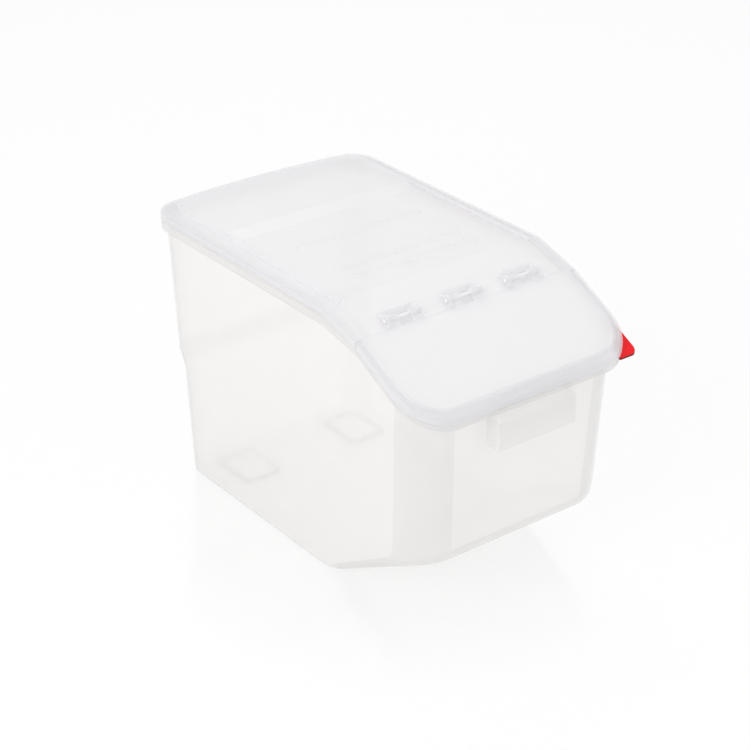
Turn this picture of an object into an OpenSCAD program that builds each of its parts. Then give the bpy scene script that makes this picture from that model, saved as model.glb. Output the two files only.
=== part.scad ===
// Rice bin with a fixed back lid and a hinged front flap, all sizes in millimetres.
// The front is at -Y, the width lies along X, and the bin stands on the plane z = 0.

/* [Bin] */
// Width of the bin at its floor
floor_w = 324; // [300:1:344]
// How far the lid's side edges stand out past the tops of the side walls
side_overhang = 9.7; // [9:0.1:11]
// Distance from the origin to the back of the floor
floor_back = 276; // [260:1:286]
// How far the lid's back edge stands out past the top of the back wall, at the middle of its bow
back_overhang = 14.65; // [14:0.05:16]
// Distance from the origin to the line where the floor starts to climb to the front
ramp_start = 98; // [60:1:120]
// Height of the climbing floor where it meets the front wall
ramp_rise = 94; // [80:1:130]
// Distance from the origin to the front wall at the top of the climbing floor
ramp_front = 281; // [270:1:290]
// How far the front wall's lean would leave the lid's front edge standing out, at the height of the rim
front_overhang = 11.2; // [10:0.1:13]
// Thickness of the bin's walls
wall = 3; // [2:0.5:4]
// Radius of the bin's upright corners at the front
front_corner_r = 54; // [35:1:60]
// Radius of the bin's upright corners at the back
back_corner_r = 32; // [24:1:34]
// Height of the bevel round the floor
floor_bevel = 2; // [1:0.5:6]
// Radius of the corners at the line where the floor starts to climb
fold_corner_r = 24; // [15:1:40]
// Height over which the front wall rounds into the climbing floor
front_round = 16; // [6:1:24]
// Height of the ledge across the back wall
ledge_z = 172; // [120:1:240]
// Depth of the ledge across the back wall
ledge_depth = 11; // [6:1:12]
// Height over which the ledge slopes
ledge_slope = 22; // [12:1:30]

/* [Rim] */
// Height of the level part of the lid's edge above the ground
rim_z = 410; // [380:1:440]
// How far down the bin's rolled rim reaches at the sides and back
rim_drop = 26; // [18:1:30]
// How far down the bin's rolled rim reaches at the front
rim_drop_front = 19; // [15:1:24]
// Thickness of the bin's rim
rim_t = 2.5; // [2:0.5:3.5]

/* [Grip] */
// Width of the hand grip under the front rim
grip_w = 132; // [110:1:160]
// Height of the grip's upright face
grip_h = 39; // [30:1:50]
// How far the grip stands out past the front of the lid
grip_out = 8; // [4:1:12]

/* [Floor pockets] */
// Width of each pocket under the back corners of the floor
pocket_w = 57; // [40:1:70]
// Length of each pocket
pocket_l = 77; // [50:1:90]
// Depth of each pocket
pocket_d = 8; // [5:1:12]
// Distance from the middle of the bin to the middle of each pocket
pocket_x = 97; // [80:1:105]
// Distance from the back of the floor to the pocket's back edge
pocket_inset = 31; // [25:1:50]

/* [Lid] */
// Width of the lid over its skirt
lid_w = 368; // [350:1:390]
// Distance from the origin to the front edge of the lid
lid_front = 308; // [300:1:320]
// Distance from the origin to the back edge of the lid, at the middle of its bow
lid_back = 316; // [306:1:330]
// Radius of the lid's front corners
lid_front_r = 60; // [50:1:70]
// Radius of the lid's back corners
lid_back_r = 42; // [34:1:50]
// Radius of the bow across the back edge
bow_r = 1264; // [900:1:3000]
// Thickness of the lid's sheet
lid_t = 2.5; // [2:0.5:3]
// Height of the lid's skirt
skirt_h = 10; // [8:0.5:12]
// Distance from the origin to the line where the lid starts to slope down
kink_y = 103; // [95:1:112]
// Drop of the lid from that line to the seam
strip_drop = 21.8; // [16:0.2:26]
// Distance from the origin to the seam between the lid and the flap
seam_y = 175; // [170:1:180]
// Drop of the flap from the seam to the front edge
flap_drop = 67; // [55:1:75]
// Width of the seam between the lid and the flap
seam_gap = 1; // [0.6:0.1:1.5]

/* [Lid relief] */
// Distance from the lid's edge to the outside of its raised ridges
ridge_inset = 22; // [18:1:26]
// Width of the raised ridges
ridge_w = 8; // [5:1:12]
// Height of the ridges and the back plateau
ridge_h = 7; // [4:0.5:8]
// Distance from the origin to the front end of the ridges
ridge_front = 108; // [104:1:112]
// Height of the panel between the ridges
panel_h = 2; // [1:0.5:3]
// Distance from the origin to the front foot of the back plateau
plateau_y = 126; // [110:1:140]
// Length of the plateau's sloping front
plateau_slope = 31; // [15:1:40]
// Distances from the origin to the middles of the three cross ribs, back first
rib_back_y = 60; // [50:1:80]
rib_mid_y = -28; // [-40:1:0]
rib_front_y = -60; // [-80:1:-48]
// Width of each cross rib
rib_w = 11; // [6:1:12]
// Height of each cross rib
rib_h = 2.5; // [1.5:0.5:4]
// Length of each cross rib
rib_l = 212; // [160:1:240]
// Distance from the flap's edge to its raised panel
flap_border = 10; // [8:1:16]
// Height of the flap's raised panel
flap_panel_h = 3; // [2:0.5:4]

/* [Hinge] */
// Distance from the seam back to the hinge pins
hinge_back = 12; // [10:0.5:13]
// How far the hinge pins lie below the level part of the lid's edge
hinge_drop = 13; // [11:0.5:14]
// Distance from the lid's side edge to the middle of the outer hinge housing
hinge_side = 84; // [69:1:99]
// Width inside each hinge housing
housing_w = 52; // [44:1:60]
// Depth of each housing from the pins to its back wall
housing_back = 15; // [13:0.5:18]
// Thickness of the housing's ears
ear_t = 4; // [3:0.5:5]
// Radius of the ears round the pin
ear_r = 7.5; // [6.5:0.5:8]
// Radius of the hinge pins
pin_r = 2.5; // [2:0.25:3]
// Outside radius of the flap's hinge barrels
barrel_r = 5.5; // [5:0.25:6]
// Length of each hinge barrel
barrel_l = 15; // [10:1:20]

/* [Colour clip] */
// Thickness of the clip's tab
clip_t = 3.5; // [2:0.5:4]
// Radius of the tab's tip
clip_tip_r = 10; // [6:1:16]
// Distance from the lid's front edge back to the tab's front edge
clip_inset = 6; // [2:0.5:10]
// Width of the tongue that holds the clip
tongue_w = 16; // [10:1:22]
// How far the tongue reaches inside the rim
tongue_in = 9; // [6:1:10]

/* [Fits] */
// Gap between the lid or the flap and the rim that they lie on
lid_gap = 0.3; // [0.2:0.1:0.6]
// Gap between the skirt and the rim beside it
skirt_gap = 0.5; // [0.4:0.1:1]
// Radial clearance of a pin in its ears and barrels
pin_clear = 0.05; // [0.03:0.01:0.08]
// Gap at each end of a hinge barrel
barrel_gap = 0.5; // [0.3:0.1:1]
// Gap between the colour clip and what is round it
clip_gap = 0.3; // [0.3:0.1:0.5]

/* [Hidden] */
arc_steps = 7;
bow_steps = 8;
slab = 0.02;
over = 1;
rim_inset = lid_t + skirt_gap;
rim_top = lid_t + lid_gap;
mouth_inset = rim_inset + 11.5;
plateau_top = plateau_y + plateau_slope;
hinge_y = seam_y - hinge_back;
hinge_z = rim_z - hinge_drop;
hinge_pitch = lid_w / 2 - hinge_side;
trough_z = hinge_z - barrel_r - 8.5;
back_wall_top = hinge_z + 5;
flap_slope = flap_drop / (lid_front - seam_y);
strip_slope = strip_drop / (seam_y - kink_y);
far = 420;
housing_places = [-hinge_pitch, 0, hinge_pitch];

// Height of the lid's edge at a distance y from the origin
function edge_z(y) =
    y >= -kink_y ? rim_z
    : y >= -seam_y ? rim_z + strip_slope * (y + kink_y)
    : rim_z - strip_drop + flap_slope * (y + seam_y);
// Height of the lid between its ridges
function panel_z(y) =
    edge_z(y) + (y >= plateau_top ? ridge_h
    : y >= plateau_y ? panel_h + (ridge_h - panel_h) * (y - plateau_y) / plateau_slope
    : panel_h);
function arc(x, y, r, a0, a1) =
    [for (i = [0:arc_steps]) let (a = a0 + (a1 - a0) * i / arc_steps) [x + r * cos(a), y + r * sin(a)]];
// A rectangle with rounded corners: half width, front, back and the two corner radii
function round_rect(hw, front, back, rf, rb) = concat(
    arc(-hw + rf, front + rf, rf, 180, 270), arc(hw - rf, front + rf, rf, 270, 360),
    arc(hw - rb, back - rb, rb, 0, 90), arc(-hw + rb, back - rb, rb, 90, 180));
bow_x = lid_w / 2 - lid_back_r;
function bow(x) = lid_back - x * x / (2 * bow_r);
// The lid's outline seen from above, drawn in by an inset
function lid_outline(inset) = let (hw = lid_w / 2, rf = lid_front_r, rb = lid_back_r) concat(
    arc(-hw + rf, rf - lid_front, rf - inset, 180, 270),
    arc(hw - rf, rf - lid_front, rf - inset, 270, 360),
    arc(bow_x, bow(bow_x) - rb, rb - inset, 0, 90),
    [for (i = [1:bow_steps - 1]) let (x = bow_x * (1 - 2 * i / bow_steps)) [x, bow(x) - inset]],
    arc(-bow_x, bow(bow_x) - rb, rb - inset, 90, 180));
// How far each wall leans out over each millimetre of height, so that its top meets the rim
side_lean = (lid_w / 2 - side_overhang - floor_w / 2) / rim_z;
front_lean = (lid_front - front_overhang - ramp_front) / (rim_z - ramp_rise);
back_lean = (lid_back - back_overhang - ledge_depth - floor_back) / rim_z;
// The bin's outer section at a height, drawn in by an inset
function bin_half_w(z) = floor_w / 2 + side_lean * z;
function bin_front(z) = -ramp_front - front_lean * (z - ramp_rise);
function bin_back(z) = floor_back + back_lean * z;
function bin_section(z, inset, front, rf, step) = round_rect(
    bin_half_w(z) - inset, front + inset, bin_back(z) + step - inset, rf - inset, back_corner_r - inset);

module slab_at(z, points) {
    translate([0, 0, z]) linear_extrude(slab) polygon(points);
}
module prism(points) {
    linear_extrude(rim_z + 60) polygon(points);
}
// A solid across the full width whose side view is the polygon of [y, z] points
module across(points, width = 2 * far) {
    rotate([90, 0, 90]) translate([0, 0, -width / 2]) linear_extrude(width) polygon(points);
}
// The layer that lies from a height below the lid's edge to another, with its own height at the front
module edge_layer(top, bottom, bottom_front) {
    stops = [far, -kink_y, -seam_y, -far];
    across(concat([for (y = stops) [y, edge_z(y) + top]],
        [for (i = [3:-1:0]) [stops[i], edge_z(stops[i]) + (i < 2 ? bottom : bottom_front)]]));
}
module panel_layer(top, bottom) {
    stops = [far, plateau_top, plateau_y, -kink_y, -seam_y];
    across(concat([for (y = stops) [y, panel_z(y) + top]],
        [for (i = [4:-1:0]) [stops[i], panel_z(stops[i]) + bottom]]));
}
module ring(outside, inside) {
    difference() {
        prism(lid_outline(outside));
        prism(lid_outline(inside));
    }
}
module behind_seam() {
    translate([-far, -seam_y + seam_gap / 2, 0]) cube([2 * far, 2 * far, rim_z + 60]);
}
module before_seam() {
    translate([-far, -seam_y - seam_gap / 2 - far, 0]) cube([2 * far, far, rim_z + 60]);
}

// The bin's block: the lower part with its climbing floor, and the upper part above the ledge
ramp_slope = ramp_rise / (ramp_front - ramp_start);
module bin_block(inset) {
    top = rim_z + 10;
    round_z = ramp_rise + front_round + inset * 0.6;
    hull() {
        slab_at(inset, bin_section(0, inset + floor_bevel * 0.7, -ramp_start, fold_corner_r, 0));
        slab_at(inset + floor_bevel, bin_section(floor_bevel, inset, -ramp_start - floor_bevel / ramp_slope,
            fold_corner_r + 3, 0));
        slab_at(round_z - front_round, bin_section(ramp_rise, inset + 3, bin_front(ramp_rise) + front_round / 3,
            front_corner_r, 0));
        slab_at(round_z, bin_section(round_z, inset, bin_front(round_z), front_corner_r, 0));
        slab_at(top, bin_section(top, inset, bin_front(top), front_corner_r, 0));
    }
    hull() {
        slab_at(ledge_z + inset, bin_section(ledge_z, inset, bin_front(ledge_z), front_corner_r, 0));
        slab_at(ledge_z + ledge_slope + inset, bin_section(ledge_z + ledge_slope, inset,
            bin_front(ledge_z + ledge_slope), front_corner_r, ledge_depth));
        slab_at(top, bin_section(top, inset, bin_front(top), front_corner_r, ledge_depth));
    }
}
module pockets(grow, low, high) {
    for (side = [-1, 1])
        translate([side * pocket_x - pocket_w / 2 - grow, floor_back - pocket_inset - pocket_l - grow, low])
            cube([pocket_w + 2 * grow, pocket_l + 2 * grow, high - low]);
}
module below_rim() {
    across([[-far, -over], [far, -over], [far, rim_z - rim_top - over], [-kink_y, rim_z - rim_top - over],
        [-seam_y, edge_z(-seam_y) - rim_top - over], [-far, edge_z(-far) - rim_top - over]]);
}
// The hood of the grip: a sloping shoulder, an upright face and a cheek at each end
grip_top = edge_z(-lid_front) - rim_drop_front + 3;
grip_face = -lid_front - grip_out;
module grip() {
    shoulder = grip_out + 3;
    rim_face = -lid_front + rim_inset;
    across([[rim_face, grip_top], [grip_face, grip_top - shoulder], [grip_face, grip_top - shoulder - grip_h],
        [grip_face + wall, grip_top - shoulder - grip_h], [grip_face + wall, grip_top - shoulder - 1],
        [rim_face + wall, grip_top - 1], [rim_face + wall, grip_top + 3], [rim_face, grip_top + 3]], grip_w);
    for (side = [-1, 1])
        translate([side * (grip_w - wall) / 2, 0, 0])
            across([[rim_face + wall, grip_top + 3], [rim_face, grip_top + 3], [rim_face, grip_top],
                [grip_face, grip_top - shoulder], [grip_face, grip_top - shoulder - grip_h + 6],
                [grip_face + 6, grip_top - shoulder - grip_h],
                [bin_front(grip_top - 60) + 1, grip_top - shoulder - grip_h], [bin_front(grip_top) + 1, grip_top + 3]],
                wall);
}
clip_corner = [lid_w / 2 - lid_front_r, lid_front_r - lid_front];
module tongue_plan(grow) {
    start = lid_front_r - rim_inset - tongue_in - grow;
    translate(clip_corner) rotate(-45) translate([start, -tongue_w / 2 - grow])
        square([tongue_in + 8 + grow, tongue_w + 2 * grow]);
}
module bin_body() {
    color("whitesmoke") difference() {
        union() {
            intersection() {
                difference() {
                    union() {
                        difference() {
                            bin_block(0);
                            bin_block(wall);
                        }
                        pockets(wall, slab, pocket_d + wall);
                    }
                    pockets(0, -over, pocket_d);
                }
                below_rim();
            }
            intersection() {
                difference() {
                    prism(lid_outline(rim_inset));
                    prism(round_rect(lid_w / 2 - mouth_inset, -lid_front + 18.5, lid_back - 16.5,
                        front_corner_r - 3, back_corner_r - 3));
                }
                edge_layer(-rim_top, -rim_top - wall, -rim_top - wall);
            }
            intersection() {
                ring(rim_inset, rim_inset + rim_t);
                edge_layer(-rim_top, -rim_drop, -rim_drop_front);
            }
            grip();
        }
        intersection() {
            linear_extrude(rim_z) tongue_plan(clip_gap);
            edge_layer(-skirt_h, -skirt_h - clip_t - 2 * clip_gap, -skirt_h - clip_t - 2 * clip_gap);
        }
    }
}

module rib(y) {
    half = rib_l / 2 - rib_w / 2;
    base = rim_z + panel_h - lid_t / 2;
    height = rib_h + lid_t / 2;
    translate([-half, y - rib_w / 2, base]) cube([2 * half, rib_w, height]);
    for (side = [-1, 1])
        translate([side * half, y, base]) cylinder(h = height, r = rib_w / 2, $fn = 48);
}
module ridge(side) {
    x = side * (lid_w / 2 - ridge_inset - ridge_w / 2);
    base = rim_z - lid_t;
    height = lid_t + ridge_h;
    front = -ridge_front + ridge_w / 2;
    translate([x - ridge_w / 2, front, base]) cube([ridge_w, plateau_top - front, height]);
    translate([x, front, base]) cylinder(h = height, r = ridge_w / 2, $fn = 48);
}
module housing(x) {
    back = -hinge_y + housing_back;
    wide = housing_w + 2 * ear_t;
    front = -seam_y + seam_gap / 2;
    translate([x - wide / 2, front, trough_z]) cube([wide, back + lid_t - front, lid_t]);
    translate([x - wide / 2, back, trough_z]) cube([wide, lid_t, back_wall_top - trough_z]);
    for (side = [-1, 1])
        translate([x + side * (housing_w + ear_t) / 2, 0, 0]) {
            across([[front, trough_z], [back + lid_t, trough_z], [back + lid_t, back_wall_top],
                [-hinge_y, back_wall_top], [-hinge_y - ear_r + 1, hinge_z], [front, edge_z(front) + panel_h]], ear_t);
            translate([-ear_t / 2, -hinge_y, hinge_z]) rotate([0, 90, 0]) cylinder(h = ear_t, r = ear_r, $fn = 64);
        }
}
module pin_hole(x, r, length) {
    translate([x - length / 2, -hinge_y, hinge_z]) rotate([0, 90, 0]) cylinder(h = length, r = r, $fn = 48);
}
module fixed_lid() {
    color("white") intersection() {
        difference() {
            union() {
                intersection() {
                    ring(0, ridge_inset + ridge_w);
                    edge_layer(0, -lid_t, -lid_t);
                }
                intersection() {
                    ring(0, lid_t);
                    edge_layer(0, -skirt_h, -skirt_h);
                }
                difference() {
                    intersection() {
                        prism(lid_outline(ridge_inset));
                        panel_layer(0, -lid_t);
                    }
                    for (x = housing_places)
                        translate([x - housing_w / 2, -seam_y - over, trough_z])
                            cube([housing_w, seam_y + over - hinge_y + housing_back, 60]);
                }
                intersection() {
                    ring(ridge_inset, ridge_inset + lid_t);
                    panel_layer(0, -ridge_h - lid_t);
                    translate([-far, plateau_y - 6, 0]) cube([2 * far, far, rim_z + 60]);
                }
                ridge(-1);
                ridge(1);
                rib(rib_back_y);
                rib(rib_mid_y);
                rib(rib_front_y);
                for (x = housing_places) housing(x);
            }
            for (x = housing_places) pin_hole(x, pin_r + pin_clear, housing_w + 3 * ear_t);
        }
        behind_seam();
    }
}

module barrels(x) {
    near = housing_w / 2 - barrel_gap - barrel_l;
    flap_top = edge_z(-seam_y) + flap_panel_h;
    for (side = [-1, 1]) translate([x + side * (near + barrel_l / 2), 0, 0]) {
        translate([-barrel_l / 2, -hinge_y, hinge_z]) rotate([0, 90, 0])
            cylinder(h = barrel_l, r = barrel_r, $fn = 64);
        across([[-hinge_y, flap_top + flap_slope * (seam_y - hinge_y)],
            [-hinge_y, flap_top + flap_slope * (seam_y - hinge_y) - lid_t - 1],
            [-seam_y - 8, flap_top - flap_slope * 8 - lid_t - 1],
            [-seam_y - 8, flap_top - flap_slope * 8]], barrel_l);
    }
}
module front_flap() {
    color("white") difference() {
        union() {
            intersection() {
                union() {
                    intersection() {
                        ring(0, flap_border + lid_t);
                        edge_layer(0, -lid_t, -lid_t);
                    }
                    intersection() {
                        ring(0, lid_t);
                        edge_layer(0, -skirt_h, -skirt_h);
                    }
                    intersection() {
                        ring(flap_border, flap_border + lid_t);
                        edge_layer(flap_panel_h, -lid_t, -lid_t);
                    }
                    intersection() {
                        prism(lid_outline(flap_border));
                        edge_layer(flap_panel_h, flap_panel_h - lid_t, flap_panel_h - lid_t);
                    }
                }
                before_seam();
            }
            for (x = housing_places) barrels(x);
        }
        for (x = housing_places) pin_hole(x, pin_r + pin_clear, housing_w);
    }
}

module hinge_pin(x) {
    color("white") pin_hole(x, pin_r, housing_w + 2 * ear_t - 1);
}
module hinge_pin_left() {
    hinge_pin(-hinge_pitch);
}
module hinge_pin_middle() {
    hinge_pin(0);
}
module hinge_pin_right() {
    hinge_pin(hinge_pitch);
}

module colour_clip() {
    low = -skirt_h - clip_gap - clip_t;
    front = clip_inset - lid_front;
    reach = [lid_w / 2 - clip_tip_r, front + clip_tip_r];
    color("red") intersection() {
        linear_extrude(rim_z) union() {
            difference() {
                polygon(concat([[clip_corner[0] + 24, clip_corner[1]], [clip_corner[0] + 24, front]],
                    arc(reach[0], reach[1], clip_tip_r, 270, 360), [[lid_w / 2, clip_corner[1] - 8]]));
                polygon(lid_outline(rim_inset - clip_gap));
            }
            tongue_plan(0);
        }
        edge_layer(-skirt_h - clip_gap, low, low);
    }
}

bin_body();
fixed_lid();
front_flap();
hinge_pin_left();
hinge_pin_middle();
hinge_pin_right();
colour_clip();
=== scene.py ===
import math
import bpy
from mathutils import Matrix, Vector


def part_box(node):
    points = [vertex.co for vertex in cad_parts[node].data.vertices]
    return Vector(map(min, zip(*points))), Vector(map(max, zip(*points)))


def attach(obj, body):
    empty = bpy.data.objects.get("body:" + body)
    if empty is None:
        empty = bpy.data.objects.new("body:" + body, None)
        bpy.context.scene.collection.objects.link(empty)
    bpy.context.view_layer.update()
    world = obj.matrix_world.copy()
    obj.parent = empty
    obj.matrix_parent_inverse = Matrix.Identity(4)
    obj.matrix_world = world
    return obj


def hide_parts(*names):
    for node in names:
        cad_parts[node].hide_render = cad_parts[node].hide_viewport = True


bl_info = {
    "name": "Rice bin with flip lid",
    "version": (1, 0, 0),
    "blender": (4, 5, 0),
    "location": "3D View > Sidebar > Rice bin",
    "description": "Builds a milky rice bin with its fixed lid, hinged flap, hinge pins and colour clip",
    "category": "Add Mesh",
}

import bmesh
import bpy
from mathutils import Vector

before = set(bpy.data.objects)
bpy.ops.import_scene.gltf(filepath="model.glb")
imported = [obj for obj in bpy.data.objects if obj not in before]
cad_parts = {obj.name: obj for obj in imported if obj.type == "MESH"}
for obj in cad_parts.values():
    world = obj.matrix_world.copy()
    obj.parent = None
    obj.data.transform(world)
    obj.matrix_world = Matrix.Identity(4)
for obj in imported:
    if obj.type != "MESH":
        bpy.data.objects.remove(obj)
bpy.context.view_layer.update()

MM = 0.001

# Places and sizes read from the frame, in millimetres
BIN_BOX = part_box("bin_body")
LID_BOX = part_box("fixed_lid")
FLAP_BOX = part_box("front_flap")
PIN_BOXES = [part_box("hinge_pin_" + side) for side in ("left", "middle", "right")]
LID_HALF = LID_BOX[1][0] / MM
LID_BACK = LID_BOX[1][1] / MM
LID_FRONT = -FLAP_BOX[0][1] / MM
PIN_Y = (PIN_BOXES[1][0][1] + PIN_BOXES[1][1][1]) / 2 / MM
PIN_Z = (PIN_BOXES[1][0][2] + PIN_BOXES[1][1][2]) / 2 / MM
HOUSING_PLACES = [(low[0] + high[0]) / 2 / MM for low, high in PIN_BOXES]

# Places closer together than this count as the same, in millimetres
NEAR = 0.01
CORNER_STEPS = 12
BOW_STEPS = 14
# Half the gap between the lid and the flap
HALF_SEAM = 0.5
# Half the length over which the lid's edge bends down, and over which the plateau's slope does
KINK_BLEND = 5.0
PLATEAU_BLEND = 3
RIB_PLACES = (60, -28, -60)
# Where the lid's sheet is cut across into shorter faces
CROSS_CUTS = [-140, -60, 0, 60]
PIN_HOLE_R = 2.55
CLIP_T = 3.5
CLIP_GAP = 0.3

# Sections as points of distance in from an edge and height
SKIRT_SECTION = ((0, -2.6), (0.25, -1.5), (0.8, -0.7), (1.6, -0.2), (2.8, 0))
# Steps up to a raised panel, as points of distance in from its foot and share of its height
LID_STEP = ((-2.0, 0), (-1.1, 0.12), (-0.4, 0.4), (0.2, 0.8), (1.0, 0.96), (2.2, 1))
FLAP_STEP = ((-1.6, 0), (-0.8, 0.1), (-0.1, 0.35), (0.6, 0.72), (1.4, 0.94), (2.6, 1))

# A face counts as a rounding, and gets painted shade, where it is narrower than this, turns by more than this
# many radians, and turns by more than this for each millimetre of its width
ROUNDING_WIDTH = 12
ROUNDING_TURN = 0.078
ROUNDING_BEND = 0.01
# The most painted shade that a rounding gets, the bend at which it gets it, and how slowly it fades below
# that
ROUNDING_GREY = 0.32
TIGHT_BEND = 0.4
GREY_FADE = 0.2
# How much painted shade the pockets, the ledge, the grip under the rim and the hinge housings get, as a share
# of the way to the grey colour
POCKET_GREY = 0.6
LEDGE_GREY = 0.35
GRIP_GREY = 0.13
HOUSING_GREY = 0.2
# Faces above this size at a hinge housing belong to the lid's sheet, in square millimetres
SHEET_FACE = 1600


# Sizes and colours


def linear(code):
    """An sRGB hex colour as linear red, green and blue."""
    parts = [int(code[i:i + 2], 16) / 255 for i in (1, 3, 5)]
    return [c / 12.92 if c <= 0.04045 else ((c + 0.055) / 1.055) ** 2.4 for c in parts]


def length(name, description, millimetres):
    return bpy.props.FloatProperty(name=name, description=description, default=millimetres * MM,
                                   unit="LENGTH", precision=4)


def lean(name, description, share):
    return bpy.props.FloatProperty(name=name, description=description, default=share)


def shade(name, description, code):
    return bpy.props.FloatVectorProperty(name=name, description=description, default=linear(code),
                                         subtype="COLOR", size=3, min=0.0, max=1.0)


class RiceBinBody(bpy.types.PropertyGroup):
    floor_w: length("Floor width", "Width of the bin at its floor", 324)
    side_lean: lean("Side lean", "How far each side wall leans out, as a share of its height", 0.03)
    floor_back: length("Floor back", "Distance from the origin to the back of the floor", 276)
    back_lean: lean("Back lean", "How far the back wall leans out, as a share of its height", 0.035)
    ramp_start: length("Slope start", "Distance from the origin to where the floor starts to climb", 98)
    ramp_rise: length("Slope rise", "Height of the climbing floor at the front wall", 94)
    ramp_front: length("Front wall", "Distance from the origin to the wall at the top of the slope", 281)
    front_lean: lean("Front lean", "How far the front wall leans out, as a share of its height", 0.05)
    front_round: length("Front rounding", "Height over which the front wall rounds into the slope", 16)
    wall: length("Wall", "Thickness of the bin's walls", 3)
    front_r: length("Front corner radius", "Radius of the upright front corners", 54)
    fold_r: length("Slope corner radius", "Radius of the corners where the floor starts to climb", 24)
    back_r: length("Back corner radius", "Radius of the upright back corners", 32)
    ledge_z: length("Ledge height", "Height of the ledge across the back wall", 172)
    ledge_depth: length("Ledge depth", "Depth of the ledge across the back wall", 11)
    ledge_slope: length("Ledge slope", "Height over which the ledge slopes", 22)
    rim_drop: length("Rim drop", "How far down the rolled rim reaches at the sides and back", 26)
    rim_drop_front: length("Front rim drop", "How far down the rolled rim reaches at the front", 19)
    grip_w: length("Grip width", "Width of the hand grip", 132)
    grip_h: length("Grip height", "Height of the grip's upright face", 39)
    pocket_w: length("Pocket width", "Width of each pocket in the floor", 57)
    pocket_l: length("Pocket length", "Length of each pocket in the floor", 77)
    pocket_d: length("Pocket depth", "Depth of each pocket in the floor", 8)
    pocket_x: length("Pocket place", "Distance from the middle of the bin to the middle of each pocket", 97)
    pocket_inset: length("Pocket inset", "Distance from the back of the floor to each pocket's back edge", 31)


class RiceBinLid(bpy.types.PropertyGroup):
    rim_z: length("Rim height", "Height of the level part of the lid's edge", 410)
    front_r: length("Front corner radius", "Radius of the lid's front corners", 60)
    back_r: length("Back corner radius", "Radius of the lid's back corners", 42)
    bow_r: length("Back bow radius", "Radius of the bow across the lid's back edge", 1264)
    sheet: length("Sheet", "Thickness of the lid's sheet", 2.3)
    skirt_h: length("Skirt", "Height of the lid's skirt", 10)
    kink_y: length("Kink", "Distance from the origin to the line where the lid starts to slope", 103)
    strip_drop: length("Strip drop", "Drop of the lid from the kink to the seam", 21.8)
    seam_y: length("Seam", "Distance from the origin to the seam between lid and flap", 175)
    flap_drop: length("Flap drop", "Drop of the flap from the seam to its front edge", 67)
    ridge_inset: length("Ridge inset", "Distance from the lid's edge to the outside of its side ridges", 22)
    ridge_w: length("Ridge width", "Width of the side ridges", 8)
    ridge_h: length("Ridge height", "Height of the side ridges and of the back plateau", 7)
    ridge_front: length("Ridge front", "Distance from the origin to the ridges' front ends", 108)
    panel_h: length("Panel height", "Height of the panel between the ridges", 2)
    plateau_y: length("Plateau foot", "Distance from the origin to the foot of the back plateau", 126)
    plateau_slope: length("Plateau slope", "Length of the plateau's sloping front", 31)
    rib_w: length("Rib width", "Width of each cross rib", 11)
    rib_h: length("Rib height", "Height of each cross rib", 2.5)
    rib_l: length("Rib length", "Length of each cross rib", 212)
    flap_border: length("Flap border", "Distance from the flap's edge to its raised panel", 10)
    flap_panel_h: length("Flap panel height", "Height of the flap's raised panel", 3)
    housing_w: length("Housing width", "Width inside each hinge housing", 52)
    housing_back: length("Housing depth", "Depth of each housing behind the pins", 15)
    ear_t: length("Ear thickness", "Thickness of the housings' ears", 4)
    ear_r: length("Ear radius", "Radius of the ears round the pins", 7.5)
    barrel_r: length("Barrel radius", "Outside radius of the flap's hinge barrels", 5.5)
    barrel_l: length("Barrel length", "Length of each hinge barrel", 15)


class RiceBinLooks(bpy.types.PropertyGroup):
    milky: shade("Milky plastic", "Colour of the bin's moulded polypropylene", "#F9F8F7")
    clear: shade("Lid plastic", "Colour of the lid's and flap's polypropylene", "#F7F6F8")
    # Body grey and Lid grey are the painted shade on roundings, pockets, ledge, grip, seams and hinge
    # housings; Dark red is the painted shade on the clip's sides and underside
    edge: shade("Body grey", "Colour of the bin's plastic where it is thick or stands edge on", "#BFBFC2")
    lid_shade: shade("Lid grey", "Colour of the lid's plastic where it is thick or stands edge on", "#EAEAEE")
    red: shade("Red plastic", "Colour of the clip", "#E6000F")
    red_shade: shade("Dark red", "Colour of the clip's sides and underside", "#7C0008")
    pin: shade("Pin plastic", "Colour of the hinge pins", "#E6E6E8")
    floor: shade("Floor", "Colour of the pale floor", "#F3F3F3")


def body_sizes():
    """The bin's sizes in millimetres, and its leans as they are."""
    group = bpy.context.scene.rice_bin_body
    return {key: getattr(group, key) / (1 if key.endswith("lean") else MM) for key in group.__annotations__}


def lid_sizes():
    """The lid's and the flap's sizes in millimetres."""
    group = bpy.context.scene.rice_bin_lid
    return {key: getattr(group, key) / MM for key in group.__annotations__}


# Modelling, in millimetres


def choose(piece):
    bpy.ops.object.select_all(action="DESELECT")
    bpy.context.view_layer.objects.active = piece
    piece.select_set(True)


def edit(piece):
    choose(piece)
    bpy.ops.object.mode_set(mode="EDIT")


def done():
    bpy.ops.object.mode_set(mode="OBJECT")


def pick(piece, kind, test):
    """Selects in edit mode only the faces, edges or vertices that pass the test."""
    mesh = bmesh.from_edit_mesh(piece.data)
    for part in list(mesh.faces) + list(mesh.edges) + list(mesh.verts):
        part.select = False
    bpy.ops.mesh.select_mode(type={"faces": "FACE", "edges": "EDGE", "verts": "VERT"}[kind])
    mesh = bmesh.from_edit_mesh(piece.data)
    for part in getattr(mesh, kind):
        if test(part):
            part.select_set(True)
    bmesh.update_edit_mesh(piece.data)


def outward():
    bpy.ops.mesh.select_all(action="SELECT")
    bpy.ops.mesh.normals_make_consistent(inside=False)


def take_name(piece, name):
    piece.name = name
    piece.data.name = name


def flat_face(name, points):
    """A filled circle with one corner for each point, shaped to the points."""
    bpy.ops.object.select_all(action="DESELECT")
    bpy.ops.mesh.primitive_circle_add(vertices=len(points), radius=1.0, fill_type="NGON")
    piece = bpy.context.object
    take_name(piece, name)
    for vertex, point in zip(piece.data.vertices, points):
        vertex.co = point
    return piece


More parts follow.
